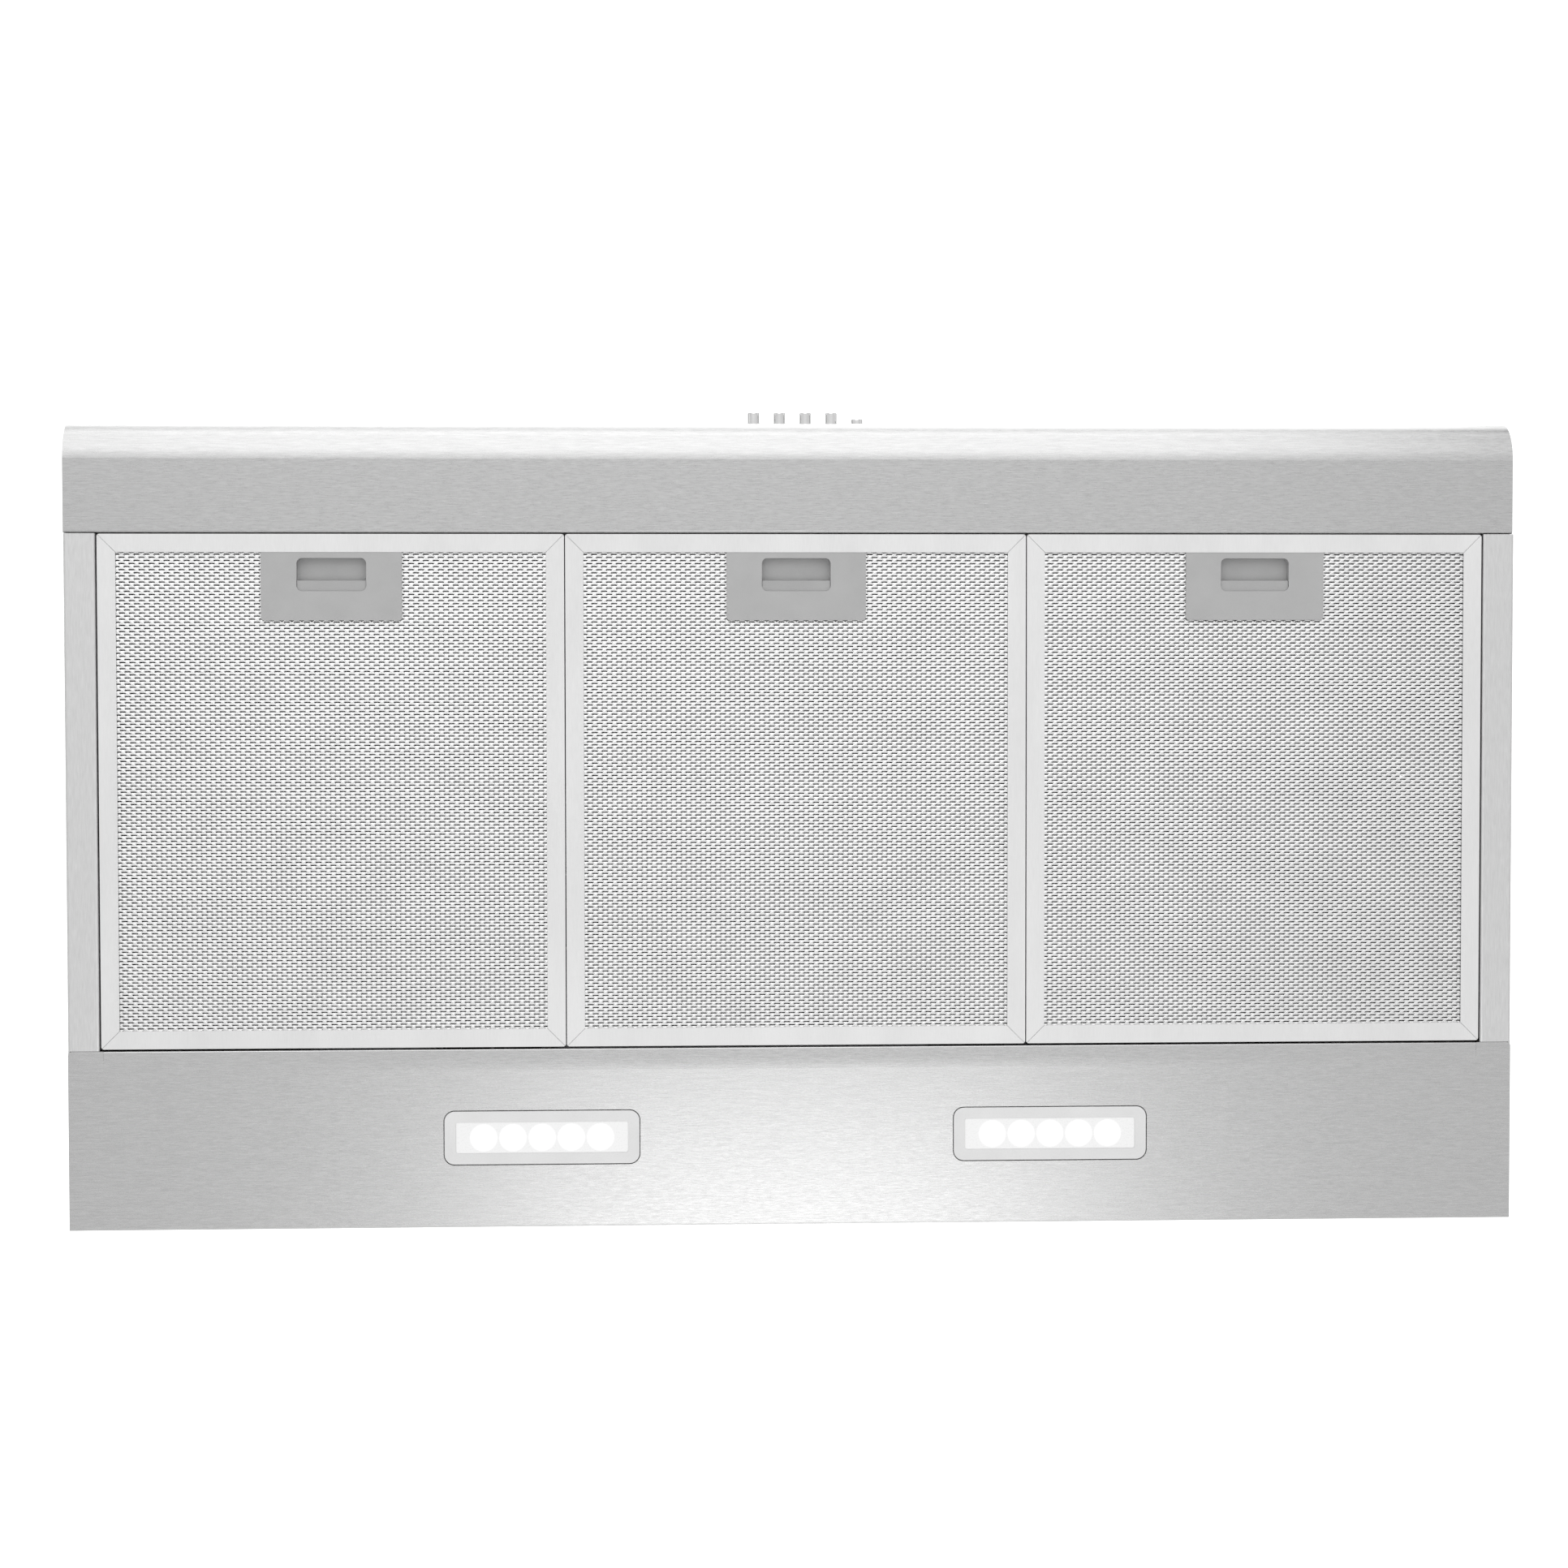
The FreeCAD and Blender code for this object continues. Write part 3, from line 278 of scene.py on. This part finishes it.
LOOKS = {
    "front_panel": STEEL_X,
    "side_panel": STEEL_Y,
    "lamp_panel": STEEL_REAR,
    "canopy_shell": STEEL_SHELL,
    "filter_frame": FRAME_ALU,
    "filter_mesh": MESH_ALU,
    "latch_plate": LATCH,
    "latch_slider": SLIDER,
    "latch_spring": SPRING,
    "lamp_housing": BEZEL,
    "lamp_lens": WINDOW,
    "led_board": LED,
    "button_spring": SPRING,
    "button_collars": CHROME,
    "button": CHROME,
    "casing_screws": ZINC,
    "blower_screws": ZINC,
    "switch_housing": BLACK,
    "switch_bracket": GALVANISED,
    "duct_collar": BLACK,
    "damper_rod": ZINC,
    "damper_flap": BLACK,
    "blower_housing": GALVANISED,
    "blower_cover": GALVANISED,
    "inlet_guard": ZINC,
    "impeller": BLACK,
    "motor_shaft": ZINC,
    "motor_case": GALVANISED,
    "motor_bracket": GALVANISED,
    "terminal_box": GALVANISED,
    "terminal_cover": GALVANISED,
    "terminal_block": WHITE,
    "cable_gland": BLACK,
    "capacitor": WHITE,
    "led_driver": WHITE,
    "wiring_harness": CABLE,
    "lamp_harness": CABLE,
}

for name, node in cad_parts.items():
    key = max((k for k in LOOKS if name.startswith(k)), key=len)
    node.data.materials.clear()
    node.data.materials.append(LOOKS[key])

# ---------------------------------------------------------------- expanded mesh


def lattice_cells(x_range, y_range, pitch, keep_out):
    """Centres of the diamonds as whole half-pitch steps from the middle of the area."""
    hx, hy = pitch[0] / 2, pitch[1] / 2
    cx, cy = sum(x_range) / 2, sum(y_range) / 2
    nx = int((x_range[1] - x_range[0]) / 2 / hx) - 1
    ny = int((y_range[1] - y_range[0]) / 2 / hy) - 1
    cells = set()
    for i in range(-nx, nx + 1):
        for j in range(-ny, ny + 1):
            if (i + j) % 2:
                continue
            if keep_out(cx + i * hx, cy + j * hy):
                continue
            cells.add((i, j))
    return cells, cx, cy, hx, hy


def expanded_sheet(x_range, y_range, z, pitch, hole, ridge, tilt, keep_out, offset=0):
    """Closed mesh of expanded metal: each diamond has a hexagon hole, ridged strands between.

    hole is (half length, half length of its flat sides, half height); the rim of a hole is
    lifted by tilt on one side and lowered on the other, as slitting and stretching leaves it.
    offset moves the sheet by whole half pitches along x.
    """
    cells, cx, cy, hx, hy = lattice_cells(x_range, y_range, pitch, keep_out)
    verts = []
    faces = []
    bonds = {}

    def bond(i, j):
        key = (i, j)
        if key not in bonds:
            bonds[key] = len(verts)
            x = cx + i * hx + offset * hx
            verts.append((x, cy + j * hy, z - ridge))
            verts.append((x, cy + j * hy, z + ridge))
        return bonds[key]

    a, c, b = hole
    rim = ((a, 0.0, 0.0), (c, b, tilt), (-c, b, tilt), (-a, 0.0, 0.0), (-c, -b, -tilt), (c, -b, -tilt))
    outer = ((1, 0), (0, 1), (-1, 0), (0, -1))
    diagonal = ((1, 1), (-1, 1), (-1, -1), (1, -1))
    spokes = ((0, 1, 1, 0), (1, 2, 3, 2), (2, 3, 4, 3), (3, 0, 0, 5))
    caps = ((1, 2, 1), (3, 5, 4))
    for i, j in sorted(cells):
        x = cx + i * hx + offset * hx
        y = cy + j * hy
        ring = [bond(i + di, j + dj) for di, dj in outer]
        first = len(verts)
        for dx, dy, dz in rim:
            verts.append((x + dx, y + dy, z + dz))
        for p, q, r, s in spokes:
            faces.append((ring[p] + 1, ring[q] + 1, first + r, first + s))
            faces.append((first + s, first + r, ring[q], ring[p]))
        for p, r, s in caps:
            faces.append((ring[p] + 1, first + r, first + s))
            faces.append((first + s, first + r, ring[p]))
        for k in range(4):
            di, dj = diagonal[k]
            if (i + di, j + dj) not in cells:
                p, q = ring[k], ring[(k + 1) % 4]
                faces.append((p, q, q + 1, p + 1))
    return verts, faces


def mesh_piece(name, verts, faces, material, smooth=True):
    """Object of its own from verts and faces, with its normals turned outwards."""
    mesh = bpy.data.meshes.new(name)
    mesh.from_pydata(verts, [], faces)
    mesh.validate()
    work = bmesh.new()
    work.from_mesh(mesh)
    bmesh.ops.recalc_face_normals(work, faces=work.faces)
    work.to_mesh(mesh)
    work.free()
    mesh.materials.append(material)
    mesh.polygons.foreach_set("use_smooth", [smooth] * len(mesh.polygons))
    piece = bpy.data.objects.new(name, mesh)
    bpy.context.scene.collection.objects.link(piece)
    return piece


FINE_PITCH = (6.1 * MM, 3.8 * MM)
FINE_HALF = (FINE_PITCH[0] / 2, FINE_PITCH[1] / 2)
FINE_HOLE = (2.05 * MM, 1.5 * MM, 0.42 * MM)
COARSE_PITCH = (12.2 * MM, 7.6 * MM)
COARSE_HOLE = (4.9 * MM, 2.2 * MM, 1.9 * MM)
FINE_RIDGE = 0.16 * MM
FINE_TILT = 0.26 * MM
COARSE_RIDGE = 0.25 * MM
COARSE_TILT = 0.25 * MM
FINE_LEVEL = 1.5 * MM
CORE_LEVELS = ((3.5 * MM, 0), (5.4 * MM, 1), (7.5 * MM, 0))
BAR = 11.2 * MM
TUCK = 6.5 * MM
NOTCH_X = 31.0 * MM
NOTCH_STEP = 1.0 * MM

for side in SIDES:
    low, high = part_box("filter_frame_" + side)
    middle = (low.x + high.x) / 2
    x_range = (low.x + BAR - TUCK, high.x - BAR + TUCK)
    y_range = (low.y + BAR - TUCK, high.y - BAR + TUCK)
    notch_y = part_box("latch_plate_" + side)[1].y - NOTCH_STEP

    def at_latch(x, y, middle=middle, notch_y=notch_y):
        return abs(x - middle) < NOTCH_X + FINE_HALF[0] and y < notch_y + FINE_HALF[1]

    verts, faces = expanded_sheet(x_range, y_range, low.z + FINE_LEVEL, FINE_PITCH, FINE_HOLE,
                                  FINE_RIDGE, FINE_TILT, at_latch)
    sheet = mesh_piece("expanded_mesh_" + side, verts, faces, MESH_ALU, smooth=False)
    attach(sheet, "filter_" + side)
    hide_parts("filter_mesh_" + side)

    core_verts = []
    core_faces = []
    for level, shift in CORE_LEVELS:
        verts, faces = expanded_sheet(x_range, y_range, low.z + level, COARSE_PITCH, COARSE_HOLE,
                                      COARSE_RIDGE, COARSE_TILT, at_latch, shift)
        start = len(core_verts)
        core_verts += verts
        core_faces += [tuple(v + start for v in f) for f in faces]
    core = mesh_piece("mesh_core_" + side, core_verts, core_faces, CORE_ALU_PAINTED_SHADE)
    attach(core, "filter_" + side)

# ---------------------------------------------------------------- floor, light and camera


def floor(z, half):
    mesh = bpy.data.meshes.new("floor")
    corners = [(-half, -half, z), (half, -half, z), (half, half, z), (-half, half, z)]
    mesh.from_pydata(corners, [], [(0, 1, 2, 3)])
    mat, tree, shader = new_material("pale_floor", {"Roughness": 0.9})
    cloud = object_noise(tree, (0.8, 0.8, 0.8))
    link(tree, two_tone(tree, cloud, grey(0.78), grey(0.82)), shader.inputs["Base Color"])
    mesh.materials.append(mat)
    plane = bpy.data.objects.new("floor", mesh)
    bpy.context.scene.collection.objects.link(plane)
    plane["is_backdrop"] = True


FLOOR_Z = -2.6
FLOOR_HALF = 40.0
SKY_STRENGTH = 1.42

floor(FLOOR_Z, FLOOR_HALF)

# Pale sky overhead and at the horizon, with a darker band between for the steel to mirror.
world = bpy.data.worlds.new("studio")
bpy.context.scene.world = world
world.use_nodes = True
sky = world.node_tree
heading = sky.nodes.new("ShaderNodeTexCoord")
parts = sky.nodes.new("ShaderNodeSeparateXYZ")
link(sky, heading.outputs["Generated"], parts.inputs["Vector"])
height = math_node(sky, "ABSOLUTE", parts.outputs["Z"])
band = math_node(sky, "MULTIPLY", remap(sky, height, 0.0, 1.0, 0.21, 0.29),
                 remap(sky, height, 1.0, 0.0, 0.42, 0.56))
link(sky, two_tone(sky, band, grey(0.92), grey(0.10)), sky.nodes["Background"].inputs["Color"])
sky.nodes["Background"].inputs["Strength"].default_value = SKY_STRENGTH


def soft_light(name, place, aim, size, glow):
    """Rectangular soft box of radiance glow that faces aim."""
    data = bpy.data.lights.new(name, "AREA")
    data.shape = "RECTANGLE"
    data.size, data.size_y = size
    data.energy = glow * math.pi * size[0] * size[1]
    lamp = bpy.data.objects.new(name, data)
    lamp.location = place
    direction = Vector(aim) - Vector(place)
    lamp.rotation_euler = direction.to_track_quat("-Z", "Y").to_euler()
    lamp.visible_camera = False
    bpy.context.scene.collection.objects.link(lamp)


soft_light("rear_soft", (0.11, 0.82, -2.45), (0.11, 0.82, 0.0), (0.80, 0.60), 2.2)
soft_light("front_soft", (-0.1, -1.95, -1.1), (-0.1, -0.35, 0.1), (2.0, 3.5), 1.2)
soft_light("top_soft", (0.0, -2.1, 1.6), (0.0, -0.25, -0.1), (2.3, 3.0), 1.25)

CAMERA_PLACE = (-0.0906, -0.0907, -1.9662)
CAMERA_LENS = 67.98
TILT = [math.radians(angle) for angle in (2.05, -2.579, -0.171)]

camera_data = bpy.data.cameras.new("camera")
camera_data.sensor_width = 36.0
camera_data.lens = CAMERA_LENS
camera_data.clip_end = 60.0
camera = bpy.data.objects.new("camera", camera_data)
turn = (Matrix.Rotation(TILT[2], 3, "Z") @ Matrix.Rotation(TILT[1], 3, "Y")
        @ Matrix.Rotation(TILT[0], 3, "X"))
axes = Matrix((turn[0], -turn[1], -turn[2])).transposed()
camera.matrix_world = Matrix.Translation(CAMERA_PLACE) @ axes.to_4x4()
bpy.context.scene.collection.objects.link(camera)
bpy.context.scene.camera = camera
bpy.context.scene.view_settings.view_transform = "Standard"

low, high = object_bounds()
